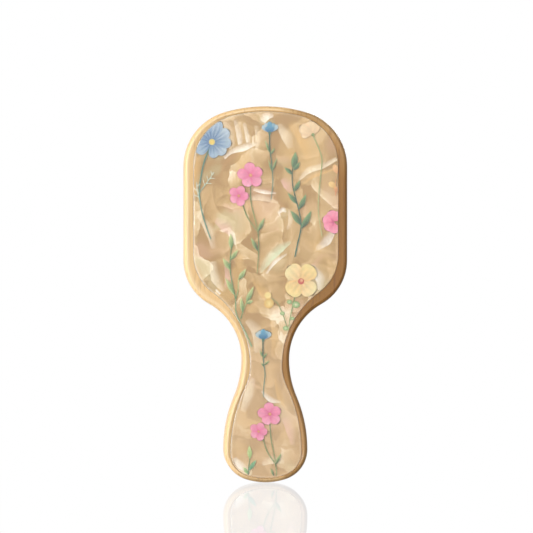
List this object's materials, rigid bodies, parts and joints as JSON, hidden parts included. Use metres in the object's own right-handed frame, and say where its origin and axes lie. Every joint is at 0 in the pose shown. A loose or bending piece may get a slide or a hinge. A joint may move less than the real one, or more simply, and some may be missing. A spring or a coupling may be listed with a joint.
{
  "type": "hairbrush",
  "caption": "Paddle hairbrush with a bamboo body, an inlaid floral pearl back and a sprung cushion of round-ended pins.",
  "frame": {"origin": "under the middle of the width and depth, level with the end of the handle", "axes": "+Z from the handle's end to the crown of the paddle, +X across the paddle, the inlaid back faces -Y and the pins point to +Y"},
  "size_m": [0.0782, 0.0344, 0.18],
  "materials": {
    "bamboo": "clear satin lacquer",
    "adhesive": "matte",
    "pearl": "pearl acetate, glossy",
    "print": "clear film printed with flowers",
    "clear": "clear, polished",
    "rubber": "matte natural rubber",
    "pin_bamboo": "polished"
  },
  "bodies": {
    "paddle": {"bamboo_body": "bamboo", "bonding_film": "adhesive", "pearl_sheet": "pearl", "clear_undercoat": "clear", "floral_print": "print", "clear_cover": "clear", "rubber_cushion": "rubber"},
    "middle_pins": {"pins_middle": "pin_bamboo", "pins_inner": "pin_bamboo", "pins_centre": "pin_bamboo"},
    "shoulder_pins": {"pins_shoulder": "pin_bamboo"},
    "edge_pins": {"pins_edge": "pin_bamboo"}
  },
  "joints": [
    {"name": "cushion_press", "type": "slide", "parent": "paddle", "child": "middle_pins", "axis": [0, -1, 0], "range_m": [0, 0.0035], "stiffness_N_per_m": 1500, "deforming": ["rubber_cushion"]},
    {"name": "shoulder_press", "type": "slide", "parent": "paddle", "child": "shoulder_pins", "axis": [0, -1, 0], "range_m": [0, 0.0031]},
    {"name": "edge_press", "type": "slide", "parent": "paddle", "child": "edge_pins", "axis": [0, -1, 0], "range_m": [0, 0.0018]}
  ],
  "couplings": [
    {"joint": "shoulder_press", "follows": "cushion_press", "ratio": 0.87},
    {"joint": "edge_press", "follows": "cushion_press", "ratio": 0.49}
  ]
}
